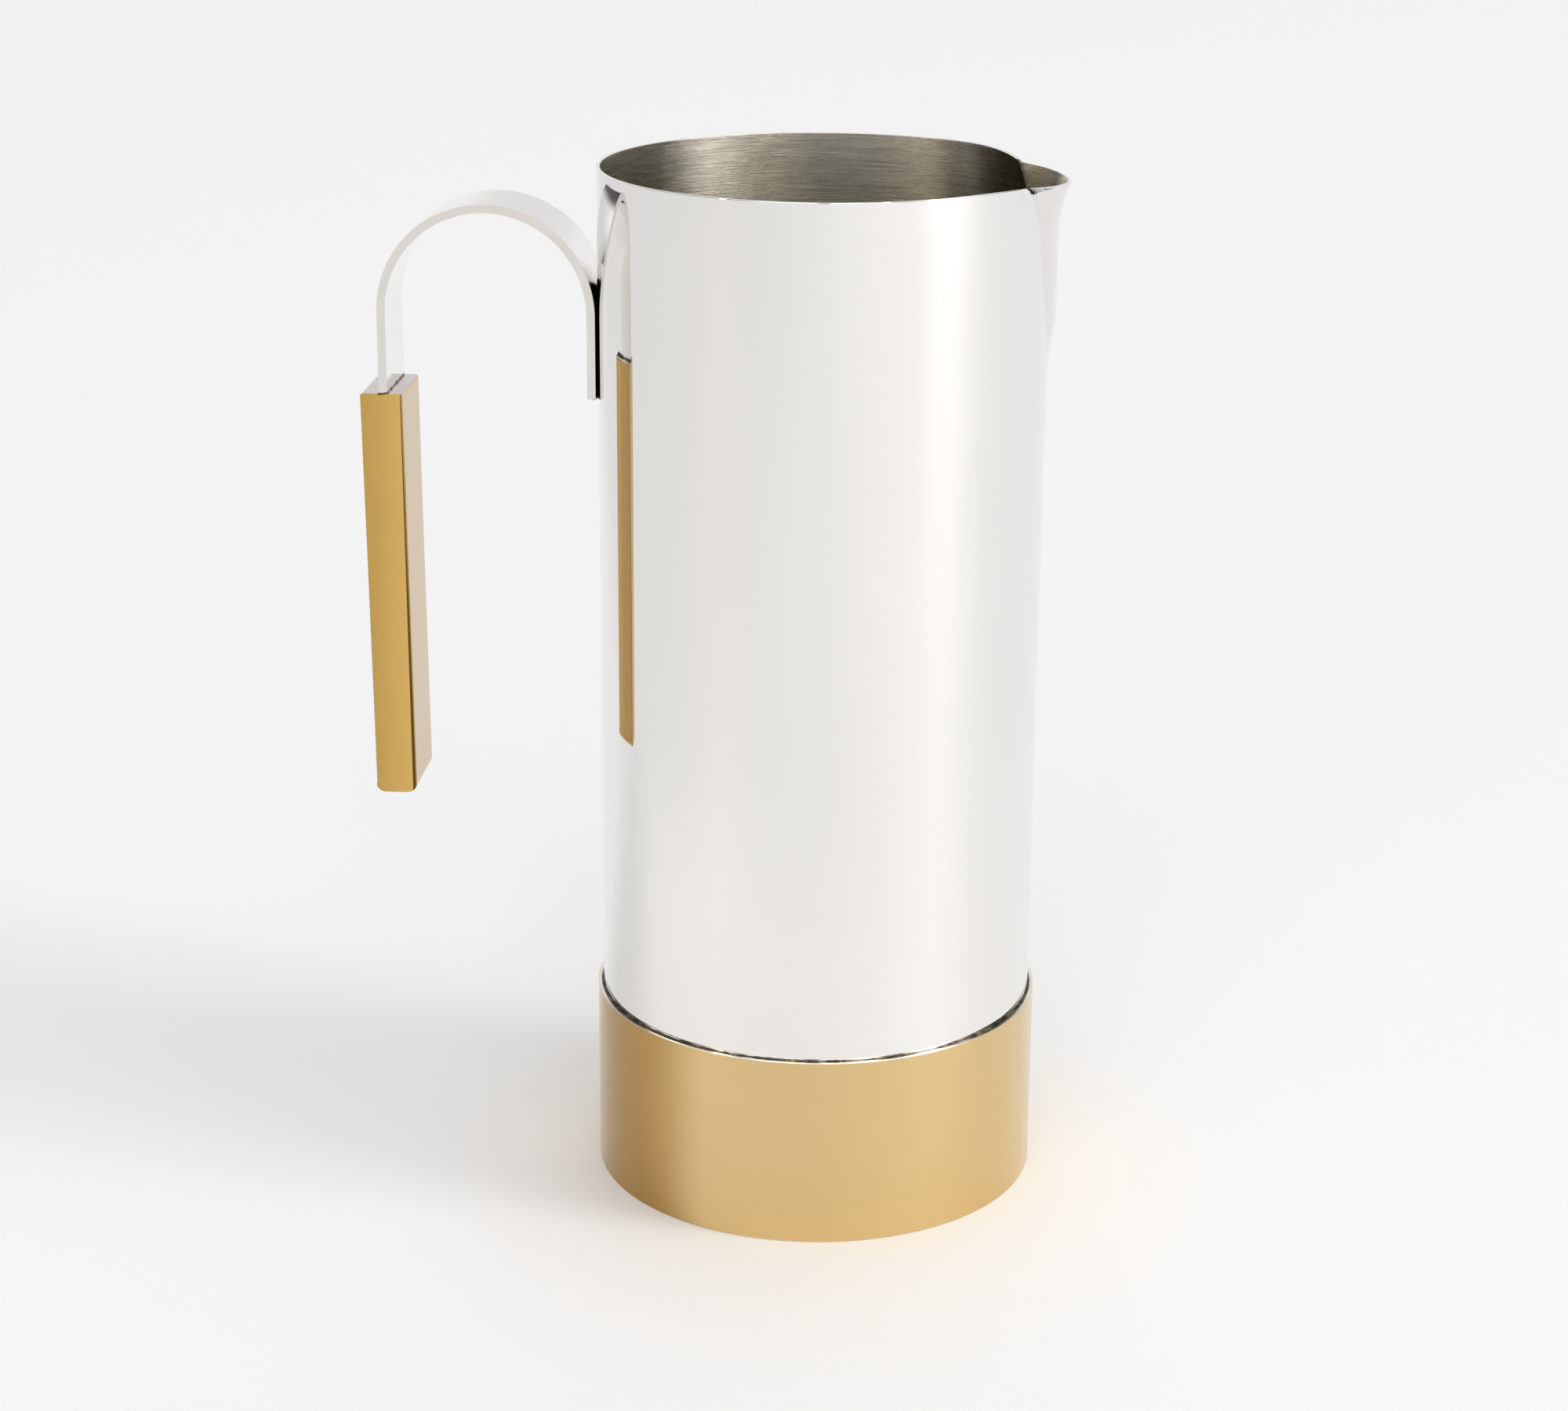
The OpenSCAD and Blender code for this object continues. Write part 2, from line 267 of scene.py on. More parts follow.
def crease_shade_at(angle):
    """How far painted shade darkens the outside: all over the spout, and most on the creases."""
    share = abs(angle) / WINDOW
    fold = max(0.0, 1 - abs(share - 0.5) / CREASE_SHARE) ** 2
    return (SPOUT_SHADE if share < 0.5 else 0.0) + CREASE_SHADE * fold


def painted_inside_light_at(angle):
    """How far painted shade darkens the inside beside a crease, below 0, and painted highlight
    brightens it on the crease and in the spout.
    """
    past = abs(angle) - WINDOW / 2
    if past > HALF_RIDGE:
        return -max(0.0, min(1.0, (SHADE_END - past) / SHADE_FADE))
    if past > -HALF_RIDGE:
        return RIDGE_TONE
    return max(SPOUT_TONE * max(0.0, 1 + past / SPOUT_FADE),
               TIP_TONE * max(0.0, 1 - abs(angle) / TIP_FADE))


def tube(name, vertices, radius, bottom, rises):
    """An open tube of faces that point outwards, drawn up from a ring in those rises."""
    bpy.ops.mesh.primitive_circle_add(vertices=vertices, radius=radius, location=(0, 0, bottom))
    made = bpy.context.object
    made.name = name
    bpy.ops.object.transform_apply(location=True, rotation=False, scale=False)
    bpy.ops.object.mode_set(mode="EDIT")
    bpy.ops.mesh.select_all(action="SELECT")
    for rise in rises:
        bpy.ops.mesh.extrude_region_move(TRANSFORM_OT_translate={"value": (0, 0, rise)})
    bpy.ops.mesh.select_all(action="SELECT")
    bpy.ops.mesh.normals_make_consistent(inside=False)
    bpy.ops.object.mode_set(mode="OBJECT")
    return made


def shape(piece, kind, **values):
    """Adds a modifier to the piece and applies it."""
    bpy.context.view_layer.objects.active = piece
    made = piece.modifiers.new(kind.lower(), kind)
    for name, value in values.items():
        setattr(made, name, value)
    bpy.ops.object.modifier_apply(modifier=made.name)


def add_slots(piece, count):
    """Gives the piece that many empty material slots."""
    bpy.context.view_layer.objects.active = piece
    for _ in range(count):
        bpy.ops.object.material_slot_add()


depths = [PRESSED_H * (i / PRESSED_ROWS) ** ROW_POWER for i in range(PRESSED_ROWS + 1)]
depths += [PRESSED_H + PLAIN_ROW_H * (i + 1) for i in range(PLAIN_ROWS)]
depths += LOW_ROWS + [BODY_H - LIFT]
body = tube("pressed_body", 360, BODY_R, LIFT,
            [below - above for below, above in zip(depths[:0:-1], depths[-2::-1])])
spots = {}
# Painted light on the points: shade on the outside's creases, light and shade on the inside, and shade
# in the notch at each crease's foot
painted_crease_shade = body.data.attributes.new("painted_crease_shade", "FLOAT", "POINT")
painted_inside_light = body.data.attributes.new("painted_inside_light", "FLOAT", "POINT")
pinched = body.data.attributes.new("pinched", "FLOAT", "POINT")
for v in body.data.vertices:
    angle = math.degrees(math.atan2(v.co.y, v.co.x)) - SPOUT_TURN
    angle = round((angle + 180) % 360 - 180, 3)
    depth = max(0.0, BODY_H - v.co.z)
    if depth < SPREAD_TO and abs(angle) <= WINDOW:
        spots[v.index] = angle, depth
        v.co = pressed(angle, depth)
        fade = max(0.0, 1 - depth / SPOUT_H) ** 0.5
        painted_crease_shade.data[v.index].value = crease_shade_at(angle) * fade
        painted_inside_light.data[v.index].value = painted_inside_light_at(angle) * fade
        if depth < 0.00005:
            past = abs(angle) - WINDOW / 2
            pinched.data[v.index].value = max(0.0, 1 - abs(past - NOTCH_AT) / NOTCH_RUN)
add_slots(body, 3)
shape(body, "SOLIDIFY", thickness=WALL, offset=-1, use_even_offset=True,
      material_offset=INSIDE, material_offset_rim=CUT_EDGE)

# The cut edge of the sheet turns outwards where the creases reach the rim: the outside ends
# lower there, and only there
for index, (angle, depth) in spots.items():
    past = abs(angle) - WINDOW / 2
    near = max(0.0, 1 - abs(past) / (DIP_OUT if past > 0 else DIP_IN))
    dip = EDGE_DIP * near ** 1.5 * max(0.0, 1 - depth / DIP_H) ** 2
    if dip > 0:
        body.data.vertices[index].co = pressed(angle, depth + dip)
shape(body, "BEVEL", width=EDGE_EASE, segments=2, limit_method="ANGLE",
      angle_limit=math.radians(60))
bpy.ops.object.select_all(action="DESELECT")
body.select_set(True)
bpy.ops.object.shade_smooth_by_angle(angle=math.radians(35))


def surface_group(name, inputs, output):
    """A new node group with those number inputs and that output, and the sockets at its ends."""
    group = bpy.data.node_groups.new(name, "ShaderNodeTree")
    for socket in inputs:
        group.interface.new_socket(socket, in_out="INPUT", socket_type="NodeSocketFloat")
    group.interface.new_socket(output, in_out="OUTPUT", socket_type="NodeSocketFloat")
    given = group.nodes.new("NodeGroupInput").outputs
    return group, given, group.nodes.new("NodeGroupOutput").inputs[output]


# Fine lines round the axis, which brushing and polishing leave
streaks, given, result = surface_group("round_streaks", ("Round", "Up"), "Lines")
reach = node(streaks, "CombineXYZ", {"X": given["Round"], "Y": given["Round"], "Z": given["Up"]})
stretched = node(streaks, "VectorMath", {
    0: node(streaks, "TexCoord").outputs["Object"], 1: reach.outputs["Vector"]},
    operation="MULTIPLY")
lines = node(streaks, "TexNoise", {
    "Vector": stretched.outputs["Vector"], "Scale": 1.0, "Detail": 6.0, "Roughness": 0.65})
streaks.links.new(lines.outputs["Fac"], result)

# Soft blotches of handling and polish
smears, given, result = surface_group("smears", ("Size",), "Blotch")
blots = node(smears, "TexNoise", {
    "Vector": node(smears, "TexCoord").outputs["Object"], "Scale": given["Size"],
    "Detail": 4.0, "Roughness": 0.55, "Distortion": 0.4})
smears.links.new(blots.outputs["Fac"], result)


def grouped(tree, group, **values):
    """A node group placed in a material with its own values."""
    made = tree.nodes.new("ShaderNodeGroup")
    made.node_tree = group
    for name, value in values.items():
        made.inputs[name].default_value = value
    return made.outputs[0]


def between(tree, value, low, high):
    """The middle of a noise, from 0.3 to 0.7, spread from low to high."""
    return mapped(tree, value, 0.3, 0.7, low, high)


def relief(tree, shader, height, strength, distance):
    """Fine relief on the surface."""
    bump = node(tree, "Bump", {"Height": height, "Strength": strength, "Distance": distance})
    tree.links.new(bump.outputs["Normal"], shader.inputs["Normal"])


def lay_over(tree, shader, factor, colour, **settings):
    """Turns the finish to that colour as far as the factor says, or blends it with the finish."""
    base = shader.inputs["Base Color"]
    under = base.links[0].from_socket
    tree.links.new(mixed(tree, factor, under, colour, **settings), base)


def blotched_metal(name, size, rough, dark, bright):
    """A metal whose roughness and colour vary in soft blotches. The size is their scale."""
    material, tree, shader = finish_of(name, Metallic=1.0)
    blotch = grouped(tree, smears, Size=size)
    tree.links.new(between(tree, blotch, *rough), shader.inputs["Roughness"])
    tree.links.new(mixed(tree, blotch, dark, bright), shader.inputs["Base Color"])
    return material, tree, shader, blotch


polished, tree, shader, blotch = blotched_metal(
    "polished_steel", 22.0, (0.018, 0.034), (0.861, 0.844, 0.821), (0.896, 0.878, 0.856))
relief(tree, shader, grouped(tree, streaks, Round=14.0, Up=30.0), 0.05, 0.00008)
# Painted shade: darker all over the spout and most along the creases
lay_over(tree, shader, node(tree, "Attribute", attribute_name="painted_crease_shade").outputs["Fac"],
         (0.88, 0.86, 0.865), blend_type="MULTIPLY")

brushed, tree, shader = finish_of("brushed_inside", Metallic=1.0, Anisotropic=1.0,
                                  Anisotropic_Rotation=0.25)
lines = grouped(tree, streaks, Round=45.0, Up=6000.0)
tree.links.new(between(tree, lines, 0.21, 0.31), shader.inputs["Roughness"])
grey = mixed(tree, between(tree, lines, 0.0, 1.0), (0.32, 0.298, 0.25), (0.60, 0.572, 0.50))
# Painted shade darkens the inside beside the creases, painted highlights brighten it in the
# spout and along the ridge of each crease, and more painted shade darkens it with depth
shade = node(tree, "Attribute", attribute_name="painted_inside_light").outputs["Fac"]
tone = ramp(tree, mapped(tree, shade, -1.0, 2.0), (
    (0.0, (0.38, 0.34, 0.29)), (1 / 3, (1.0, 1.0, 1.0)), (2 / 3, (2.6, 2.45, 2.15)),
    (1.0, (4.0, 4.1, 4.6))))
tree.links.new(mixed(tree, 1.0, grey, tone, blend_type="MULTIPLY"), shader.inputs["Base Color"])
# Painted shade: darker from the rim down to 18 mm below it, and evenly so further down
lay_over(tree, shader, mapped(tree, parts_of(tree, "Object")["Z"], BODY_H, 0.222),
         (0.70, 0.68, 0.64), blend_type="MULTIPLY", clamp_result=True)
around = node(tree, "Tangent", direction_type="RADIAL", axis="Z")
tree.links.new(around.outputs["Tangent"], shader.inputs["Tangent"])
relief(tree, shader, lines, 1.0, 0.00007)

cut_edge, tree, shader, blotch = blotched_metal(
    "cut_edge", 240.0, (0.12, 0.3), (0.88, 0.87, 0.85), (0.96, 0.955, 0.94))
# Painted shade: the cut edge is near black in the notch at each crease's foot
notch_mask = node(tree, "Attribute", attribute_name="pinched").outputs["Fac"]
lay_over(tree, shader, mapped(tree, notch_mask, 0.25, 0.45), (0.05, 0.05, 0.055))
for slot, finish in ((OUTSIDE, polished), (INSIDE, brushed), (CUT_EDGE, cut_edge)):
    body.data.materials[slot] = finish
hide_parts("body_shell")
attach(body, "root")

# Floor of the pitcher
# A flat disc of the same steel, turned in a lathe with a shallow dish. It is let into the tube
# a little above its foot and welded there from below.
DISC_R, DISC_Z, DISC_T = 0.0501, 0.0035, 0.001
DISH = ((0.0012, 0.0), (0.003, -0.0002), (0.012, -0.0001))
bpy.ops.mesh.primitive_circle_add(
    vertices=192, radius=DISC_R, fill_type="NGON", location=(0, 0, DISC_Z))
disc = bpy.context.object
disc.name = "floor_disc"
bpy.ops.object.transform_apply(location=True, rotation=False, scale=False)
bpy.ops.object.mode_set(mode="EDIT")
bpy.ops.mesh.select_all(action="SELECT")
bpy.ops.mesh.extrude_region_move(TRANSFORM_OT_translate={"value": (0, 0, DISC_T)})
for width, step in DISH:
    bpy.ops.mesh.inset(thickness=width, depth=step)
bpy.ops.mesh.select_all(action="SELECT")
bpy.ops.mesh.normals_make_consistent(inside=False)
bpy.ops.object.mode_set(mode="OBJECT")
bpy.ops.object.shade_smooth_by_angle(angle=math.radians(30))

# The turning tool's rings
turned, tree, shader = finish_of("turned_floor", Metallic=1.0)
place = parts_of(tree, "Object")
flat = node(tree, "CombineXYZ", {"X": place["X"], "Y": place["Y"]})
out = node(tree, "VectorMath", {0: flat.outputs["Vector"]}, operation="LENGTH")
rings = node(tree, "TexNoise", {"W": out.outputs["Value"], "Scale": 2200.0, "Detail": 5.0},
             noise_dimensions="1D").outputs["Fac"]
tree.links.new(between(tree, rings, 0.24, 0.4), shader.inputs["Roughness"])
tree.links.new(mixed(tree, rings, (0.42, 0.41, 0.37), (0.62, 0.61, 0.57)),
               shader.inputs["Base Color"])
relief(tree, shader, rings, 0.25, 0.00004)
disc.data.materials.append(turned)
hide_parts("body_floor")
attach(disc, "root")

# Weld under the floor
# A fillet of weld metal, run right round in the corner between the disc's underside and the
# tube. Its inner edge has the ripples of the run.
RIPPLES, RIPPLE_H, BEAD_T = 72, 0.00008, 0.0003
# From the tube in to the disc, down the fillet and out again: how wide, and how far down
FILLET = ((0.9760, 0.0), (1.0080, -0.0005), (1.0164, -0.0007))
bpy.ops.mesh.primitive_circle_add(vertices=240, radius=DISC_R, location=(0, 0, DISC_Z))
bead = bpy.context.object
bead.name = "floor_bead"
bpy.ops.object.transform_apply(location=True, rotation=False, scale=False)
bpy.ops.object.mode_set(mode="EDIT")
bpy.ops.mesh.select_all(action="SELECT")
for size, fall in FILLET:
    bpy.ops.mesh.extrude_region_move(TRANSFORM_OT_translate={"value": (0, 0, fall)})
    bpy.ops.transform.resize(value=(size, size, 1), center_override=(0, 0, 0))
bpy.ops.mesh.select_all(action="SELECT")
bpy.ops.mesh.normals_make_consistent(inside=False)
bpy.ops.object.mode_set(mode="OBJECT")
for v in bead.data.vertices:
    if v.co.xy.length < 0.05:
        v.co.z += RIPPLE_H * math.sin(RIPPLES * math.atan2(v.co.y, v.co.x))
shape(bead, "SOLIDIFY", thickness=BEAD_T, offset=0)
bpy.ops.object.shade_smooth_by_angle(angle=math.radians(40))

weld, tree, shader, blotch = blotched_metal(
    "weld_metal", 420.0, (0.25, 0.5), (0.42, 0.40, 0.37), (0.72, 0.70, 0.67))
relief(tree, shader, blotch, 0.4, 0.0001)
bead.data.materials.append(weld)
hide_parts("floor_weld")
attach(bead, "root")

# Sleeve
# A length of brass tube slid over the foot of the body, brushed round to a satin finish, with
# its edges eased. A few small pits show in it.
SLEEVE_R, SLEEVE_T, SLEEVE_H, SLEEVE_EASE, END_ROW_H = 0.05228, 0.0009, 0.045, 0.00016, 0.0006
ROUND, LIP = range(2)
SHADE_TURN = math.radians(-145)
sleeve = tube("brass_sleeve", 320, SLEEVE_R, 0.0,
              (END_ROW_H, SLEEVE_H - 2 * END_ROW_H, END_ROW_H))
shape(sleeve, "SOLIDIFY", thickness=SLEEVE_T, offset=-1, use_even_offset=True)
add_slots(sleeve, 2)
shape(sleeve, "BEVEL", width=SLEEVE_EASE, segments=3, limit_method="ANGLE",
      angle_limit=math.radians(60), material=LIP)
for side in sleeve.data.polygons:
    if side.normal.z > 0.9 and side.center.z > SLEEVE_H / 2:
        side.material_index = LIP
bpy.ops.object.shade_smooth_by_angle(angle=math.radians(50))

satin, tree, shader = finish_of("satin_brass", Metallic=1.0, Coat_Weight=0.2,
                                Coat_Roughness=0.1)
lines = grouped(tree, streaks, Round=110.0, Up=6200.0)
tree.links.new(between(tree, lines, 0.17, 0.23), shader.inputs["Roughness"])
tree.links.new(mixed(tree, lines, (0.69, 0.50, 0.238), (0.76, 0.56, 0.277)),
               shader.inputs["Base Color"])
worn = between(tree, grouped(tree, smears, Size=34.0), 0.0, 0.25)
lay_over(tree, shader, worn, (0.93, 0.9, 0.84), blend_type="MULTIPLY")
# Painted shade: a little darker on the front towards the handle
place = node(tree, "TexCoord").outputs["Object"]
facing = node(tree, "VectorMath", {
    0: place, 1: Vector((math.cos(SHADE_TURN), math.sin(SHADE_TURN), 0)) / SLEEVE_R},
    operation="DOT_PRODUCT")
painted_sleeve_shade = mapped(tree, facing.outputs["Value"], 0.86, 1.0, interpolation_type="SMOOTHSTEP")
lay_over(tree, shader, painted_sleeve_shade, (0.66, 0.54, 0.345), blend_type="MULTIPLY")
pits = node(tree, "TexVoronoi", {"Vector": place, "Scale": 105.0}).outputs["Distance"]
lay_over(tree, shader, mapped(tree, pits, 0.012, 0.034, 1.0, 0.0), (0.28, 0.17, 0.06))
relief(tree, shader, lines, 0.12, 0.00002)
# Painted highlight: the lip's top and eased edges are a near-white metal, for the whitish line along
# the sleeve's top edge
lip, tree, shader, blotch = blotched_metal(
    "sleeve_lip", 160.0, (0.16, 0.3), (0.80, 0.73, 0.60), (0.97, 0.94, 0.87))
for slot, finish in ((ROUND, satin), (LIP, lip)):
    sleeve.data.materials[slot] = finish
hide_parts("base_sleeve")
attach(sleeve, "root")

# Bond
# Dark bond that fills the clearance where the body stands in the sleeve, and is squeezed out
# of it in an uneven line.
BOND_R, BOND_T, BOND_Z, BOND_ROWS = 0.0514, 0.00036, 0.0015, (0.040, 0.0024, 0.0011)
SQUEEZED, SQUEEZE_WAVE = 0.0001, 0.0005
bond = tube("bond_line", 480, BOND_R, BOND_Z, BOND_ROWS)
shape(bond, "SOLIDIFY", thickness=BOND_T, offset=-1)
for v in bond.data.vertices:
    if v.co.z > SLEEVE_H - 0.0005:
        swell = noise.noise(v.co * 210) * 0.6 + noise.noise(v.co * 900) * 0.35
        v.co.z += SQUEEZED + SQUEEZE_WAVE * swell
bpy.ops.object.shade_smooth_by_angle(angle=math.radians(60))

dark_bond, tree, shader = finish_of("dark_bond")
blotch = grouped(tree, smears, Size=300.0)
tree.links.new(between(tree, blotch, 0.25, 0.5), shader.inputs["Roughness"])
tree.links.new(between(tree, blotch, 0.3, 0.9), shader.inputs["Metallic"])
patches = between(tree, blotch, -0.6, 0.9)
tree.links.new(mixed(tree, patches, (0.025, 0.02, 0.016), (0.46, 0.36, 0.20)),
               shader.inputs["Base Color"])
relief(tree, shader, blotch, 0.4, 0.0002)
bond.data.materials.append(dark_bond)
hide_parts("sleeve_bond")
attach(bond, "root")

# Strap
# Flat polished steel bar bent to a half-round arch. One leg is welded flat against the body,
# and the other ends in a narrow tang inside the grip.
ARCH_X, ARCH_Z, ARCH_R, STRAP_T, STRAP_W = -0.0754, 0.2066, 0.0248, 0.0019, 0.021
BODY_LEG, GRIP_LEG, STRAP_EASE = 0.0188, 0.0185, 0.00016
TANG_W, TANG_L, TANG_THIN_SHARE = 0.013, 0.008, 0.98
FACE, STRAP_EDGE, CORNER = range(3)
mid_r = ARCH_R - STRAP_T / 2
bpy.ops.mesh.primitive_plane_add(size=1, location=(ARCH_X + mid_r, 0, ARCH_Z - BODY_LEG))
strap = bpy.context.object
strap.name = "arched_strap"
strap.scale = (STRAP_T, STRAP_W, 1)
bpy.ops.object.transform_apply(location=True, rotation=False, scale=True)
bpy.ops.object.mode_set(mode="EDIT")
bpy.ops.mesh.select_all(action="SELECT")
bpy.ops.mesh.extrude_region_move(TRANSFORM_OT_translate={"value": (0, 0, BODY_LEG)})
bpy.ops.mesh.spin(steps=72, angle=math.pi, center=(ARCH_X, 0, ARCH_Z), axis=(0, 1, 0))
bpy.ops.mesh.extrude_region_move(TRANSFORM_OT_translate={"value": (0, 0, -GRIP_LEG)})
bpy.ops.mesh.extrude_region_move(TRANSFORM_OT_translate={"value": (0, 0, 0)})
bpy.ops.transform.resize(value=(TANG_THIN_SHARE, TANG_W / STRAP_W, 1),
                         center_override=(ARCH_X - mid_r, 0, ARCH_Z))
bpy.ops.mesh.extrude_region_move(TRANSFORM_OT_translate={"value": (0, 0, -TANG_L)})
bpy.ops.mesh.select_all(action="SELECT")
bpy.ops.mesh.remove_doubles(threshold=0.000001)
bpy.ops.mesh.select_mode(type="FACE")
bpy.ops.mesh.select_all(action="DESELECT")
bpy.ops.mesh.select_interior_faces()
bpy.ops.mesh.delete(type="ONLY_FACE")
bpy.ops.mesh.select_all(action="SELECT")
bpy.ops.mesh.normals_make_consistent(inside=False)
bpy.ops.object.mode_set(mode="OBJECT")
add_slots(strap, 3)
for side in strap.data.polygons:
    side.material_index = STRAP_EDGE if abs(side.normal.y) > 0.9 else FACE
shape(strap, "BEVEL", width=STRAP_EASE, segments=2, limit_method="ANGLE",
      angle_limit=math.radians(40), material=CORNER)
bpy.ops.object.shade_smooth_by_angle(angle=math.radians(40))
shape(strap, "WEIGHTED_NORMAL", keep_sharp=True, weight=100)

strap_steel, tree, shader, blotch = blotched_metal(
    "strap_steel", 60.0, (0.07, 0.14), (0.87, 0.86, 0.84), (0.93, 0.925, 0.91))
relief(tree, shader, blotch, 0.06, 0.0002)
# Painted shade: the strap's sides are a darker copy of its steel
strap_edge, tree, shader, blotch = blotched_metal(
    "strap_edge", 130.0, (0.12, 0.24), (0.74, 0.69, 0.645), (0.83, 0.785, 0.745))
relief(tree, shader, blotch, 0.12, 0.0002)
# Painted shade: the eased corners are darker still, outlining the strap
strap_corner, tree, shader, blotch = blotched_metal(
    "strap_corner", 300.0, (0.2, 0.35), (0.30, 0.27, 0.245), (0.62, 0.58, 0.54))
for slot, finish in ((FACE, strap_steel), (STRAP_EDGE, strap_edge), (CORNER, strap_corner)):
    strap.data.materials[slot] = finish
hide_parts("handle_strap")
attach(strap, "root")

# Weld on the body
# A short uneven bead of weld metal across the lower end of the strap, where it lies against
# the body.
SEAM_X, SEAM_LOWER, SEAM_HALF = -0.0512, 0.0001, (0.0009, 0.0010, 0.0104)
SEAM_WAVE, SEAM_ROUGH, SEAM_INNERMOST = 0.00022, 0.00012, -0.0499
bpy.ops.mesh.primitive_uv_sphere_add(segments=28, ring_count=20, radius=1,
                                     location=(SEAM_X, 0, ARCH_Z - BODY_LEG - SEAM_LOWER))
seam = bpy.context.object
seam.name = "strap_bead"
seam.rotation_euler = (math.pi / 2, 0, 0)
seam.scale = SEAM_HALF
bpy.ops.object.transform_apply(location=True, rotation=True, scale=True)
for v in seam.data.vertices:
    v.co.z += SEAM_WAVE * noise.noise(v.co * 700)
    v.co.x = min(v.co.x + SEAM_ROUGH * noise.noise(v.co * 900), SEAM_INNERMOST)
bpy.ops.object.shade_smooth()
seam.data.materials.append(weld)
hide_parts("strap_weld")
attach(seam, "root")

# Grip
# A solid bar of brass, cut to length, with its corners and edges eased and polished by hand
# and its top left ground. It is brazed onto the strap's tang and leans a little.
GRIP_L, GRIP_T, GRIP_LEAN = 0.096, 0.0096, math.radians(-0.55)
BRAZE_GAP, GRIP_OFFSET = 0.00015, 0.00055
END_R, TOP_R, EDGE_R, GRIP_EASE = 0.0022, 0.0007, 0.0010, 0.00018
SIDES, TOP = range(2)
FOOT = Vector((ARCH_X - mid_r, 0, ARCH_Z - GRIP_LEG - BRAZE_GAP))
bpy.ops.mesh.primitive_cube_add(size=1, location=FOOT + Vector((-GRIP_OFFSET, 0, -GRIP_L / 2)))
grip = bpy.context.object
grip.name = "brass_grip"
grip.scale = (GRIP_T, STRAP_W, GRIP_L)
bpy.ops.object.transform_apply(location=True, rotation=False, scale=True)
bpy.ops.object.mode_set(mode="EDIT")
bpy.ops.mesh.select_mode(type="EDGE")


def pick_edges(along, test):
    """Selects the edges that run along that axis and whose middle passes the test."""
    bpy.ops.mesh.select_all(action="DESELECT")
    mesh = bmesh.from_edit_mesh(bpy.context.object.data)
    for edge in mesh.edges:
        a, b = (v.co for v in edge.verts)
        if abs((b - a).normalized()[along]) > 0.99 and test((a + b) / 2):
            edge.select_set(True)
    bmesh.update_edit_mesh(bpy.context.object.data)


pick_edges(1, lambda p: p.z < FOOT.z - GRIP_L / 2)
bpy.ops.mesh.bevel(offset=END_R, segments=10, profile=0.5, affect="EDGES")
pick_edges(1, lambda p: p.z > FOOT.z - TOP_R)
bpy.ops.mesh.bevel(offset=TOP_R, segments=5, profile=0.5, affect="EDGES")
pick_edges(2, lambda p: abs(abs(p.y) - STRAP_W / 2) < 0.0001)
bpy.ops.mesh.bevel(offset=EDGE_R, segments=6, profile=0.5, affect="EDGES")
bpy.ops.mesh.select_all(action="SELECT")
bpy.ops.mesh.normals_make_consistent(inside=False)
bpy.ops.object.mode_set(mode="OBJECT")
shape(grip, "BEVEL", width=GRIP_EASE, segments=2, limit_method="ANGLE",
      angle_limit=math.radians(50))
bpy.ops.object.mode_set(mode="EDIT")
bpy.ops.mesh.select_all(action="SELECT")
bpy.ops.mesh.remove_doubles(threshold=0.00003)
bpy.ops.object.mode_set(mode="OBJECT")
grip.data.transform(Matrix.Translation(FOOT) @ Matrix.Rotation(GRIP_LEAN, 4, "Y")
                    @ Matrix.Translation(-FOOT))
bpy.ops.object.shade_smooth_by_angle(angle=math.radians(40))
shape(grip, "WEIGHTED_NORMAL", keep_sharp=True, weight=100)

# Polished brass, deeper in colour on the outer side of the front
brass, tree, shader = finish_of("polished_brass", Metallic=1.0, Coat_Roughness=0.05)
blotch = grouped(tree, smears, Size=48.0)
tree.links.new(between(tree, blotch, 0.10, 0.18), shader.inputs["Roughness"])
along = node(tree, "Mapping", {
    "Vector": node(tree, "TexCoord").outputs["Object"], "Location": FOOT,
    "Rotation": (0, GRIP_LEAN, 0)}, vector_type="TEXTURE")
place = node(tree, "SeparateXYZ", {"Vector": along.outputs["Vector"]}).outputs
across = mapped(tree, place["X"], -0.0052, 0.0036)
tree.links.new(mixed(tree, across, (0.57, 0.35, 0.088), (0.73, 0.465, 0.135)),
               shader.inputs["Base Color"])
lay_over(tree, shader, between(tree, blotch, 0.0, 0.4), (0.88, 0.84, 0.78),
         blend_type="MULTIPLY")
# The inner front edge has a painted dark reflection, in a line that widens downwards, no lacquer on it
line_from = mapped(tree, place["Z"], 0.0, -GRIP_L, 0.0038, 0.0033)
past_line = node(tree, "Math", {0: place["X"], 1: line_from}, operation="SUBTRACT")
painted_dark_line = node(tree, "Math", {
    0: mapped(tree, past_line.outputs["Value"], 0.0, 0.00012),
    1: mapped(tree, place["Y"], -0.0097, -0.0099)}, operation="MULTIPLY").outputs["Value"]
lay_over(tree, shader, painted_dark_line, (0.13, 0.065, 0.012))
tree.links.new(mapped(tree, painted_dark_line, 0.0, 1.0, 0.35, 0.0), shader.inputs["Coat Weight"])
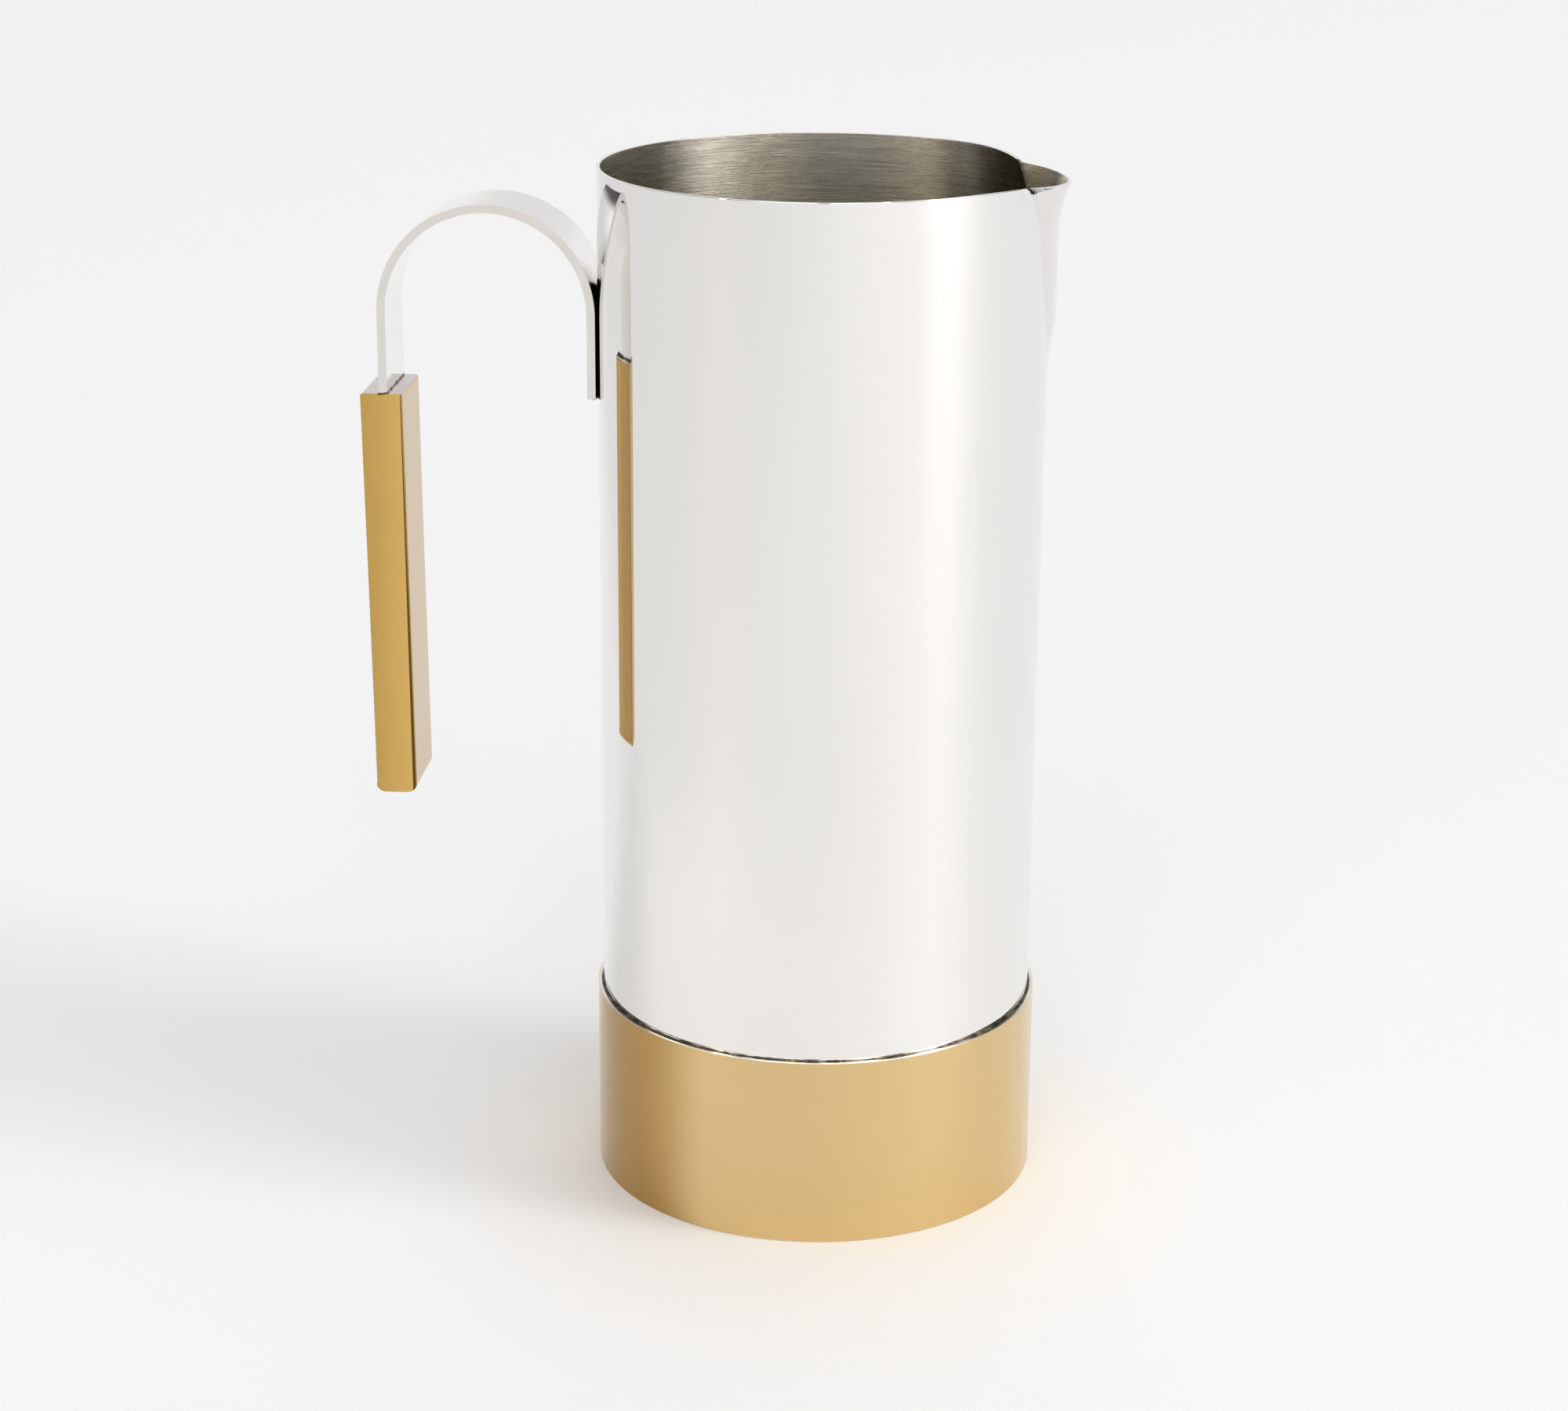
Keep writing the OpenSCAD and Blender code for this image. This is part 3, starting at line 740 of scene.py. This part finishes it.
# The side that faces the body is darker in colour
lay_over(tree, shader, mapped(tree, place["X"], 0.0039, 0.0042), (0.56, 0.36, 0.135))
relief(tree, shader, blotch, 0.12, 0.0003)

ground, tree, shader, blotch = blotched_metal(
    "ground_top", 150.0, (0.08, 0.2), (0.60, 0.55, 0.53), (0.79, 0.73, 0.71))
grip.data.materials.append(brass)
grip.data.materials.append(ground)
for side in grip.data.polygons:
    side.material_index = TOP if side.normal.z > 0.6 else SIDES
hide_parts("handle_grip")
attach(grip, "root")

# Braze
# A thin wavy seam of braze round the foot of the strap, darkened where it was heated. It
# stands out a little past the strap at the front.
BRAZE_SIZE, BRAZE_LIFT, BRAZE_EASE = (0.0022, 0.0200, 0.0004), 0.0001, 0.0001
BRAZE_WAVE, MORE_IN_FRONT, FRONT_FROM, FRONT_RUN = 0.00024, 0.00022, 0.0088, 0.0010
FRONT_PUSH = Vector((0, -0.00065, -0.00015))
bpy.ops.mesh.primitive_cube_add(size=1, location=FOOT + Vector((0, 0, BRAZE_LIFT)))
braze = bpy.context.object
braze.name = "braze_seam"
braze.scale = BRAZE_SIZE
bpy.ops.object.transform_apply(location=True, rotation=False, scale=True)
bpy.ops.object.mode_set(mode="EDIT")
bpy.ops.mesh.select_all(action="SELECT")
bpy.ops.mesh.bevel(offset=BRAZE_EASE, segments=2, affect="EDGES")
bpy.ops.mesh.select_all(action="SELECT")
bpy.ops.mesh.subdivide(number_cuts=4)
bpy.ops.mesh.subdivide(number_cuts=2)
bpy.ops.object.mode_set(mode="OBJECT")
for v in braze.data.vertices:
    front = min(1.0, max(0.0, (-v.co.y - FRONT_FROM) / FRONT_RUN))
    wave = (BRAZE_WAVE + MORE_IN_FRONT * front) * noise.noise(v.co * 640)
    v.co += Vector((1, 0.2, 0.9)) * wave
    v.co += FRONT_PUSH * front
bpy.ops.object.shade_smooth()

braze_metal, tree, shader, blotch = blotched_metal(
    "braze_metal", 500.0, (0.25, 0.45), (0.035, 0.02, 0.01), (0.30, 0.20, 0.085))
relief(tree, shader, blotch, 0.3, 0.0001)
braze.data.materials.append(braze_metal)
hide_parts("grip_braze")
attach(braze, "root")
